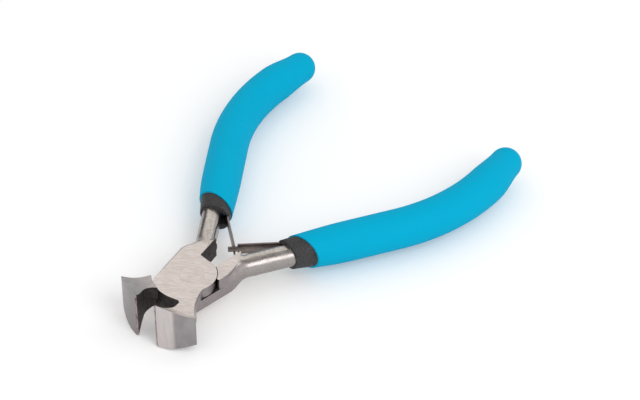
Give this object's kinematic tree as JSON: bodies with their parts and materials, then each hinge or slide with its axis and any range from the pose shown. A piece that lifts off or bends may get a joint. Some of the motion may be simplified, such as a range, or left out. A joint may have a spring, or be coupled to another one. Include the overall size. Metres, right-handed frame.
{
  "type": "end cutting nippers",
  "caption": "Small end cutting nippers: half-lapped steel levers on a flush rivet with wide curved cutting jaws, crossed leaf springs that open them, and bent moulded grips.",
  "frame": {"origin": "on the pivot axis, at the lower ground face of the joint", "axes": "+Z along the pivot axis out of the upper joint face, +Y from the joint towards the handles, +X to the side of the bottom lever's handle"},
  "size_m": [0.0816, 0.1084, 0.0136],
  "materials": {
    "lever_steel": "ground and satin polished",
    "rivet_steel": "ground flush",
    "spring_steel": "rolled strip",
    "dark_grip": "matt moulded, fine grain",
    "blue_grip": "matt moulded"
  },
  "bodies": {
    "bottom_half": {"bottom_lever": "lever_steel", "pivot_rivet": "rivet_steel", "bottom_grip_core": "dark_grip", "bottom_grip_cover": "blue_grip"},
    "top_half": {"top_lever": "lever_steel", "top_grip_core": "dark_grip", "top_grip_cover": "blue_grip"},
    "top_leaf": {"slotted_leaf_spring": "spring_steel"},
    "bottom_leaf": {"tongued_leaf_spring": "spring_steel"}
  },
  "joints": [
    {"name": "pivot", "type": "hinge", "parent": "bottom_half", "child": "top_half", "pos_m": [0, 0, 0], "axis": [0, 0, -1], "range_deg": [0, 18], "stiffness_Nm_per_rad": 0.6},
    {"name": "top_leaf_flex", "type": "hinge", "parent": "top_half", "child": "top_leaf", "pos_m": [-0.01289, 0.02781, 0.003], "axis": [0, 0, -1], "range_deg": [0, 10.3]},
    {"name": "bottom_leaf_flex", "type": "hinge", "parent": "bottom_half", "child": "bottom_leaf", "pos_m": [0.01289, 0.02781, 0.003], "axis": [0, 0, 1], "range_deg": [0, 10.3]}
  ],
  "couplings": [
    {"joint": "top_leaf_flex", "follows": "pivot", "ratio": 0.568},
    {"joint": "bottom_leaf_flex", "follows": "pivot", "ratio": 0.568}
  ]
}
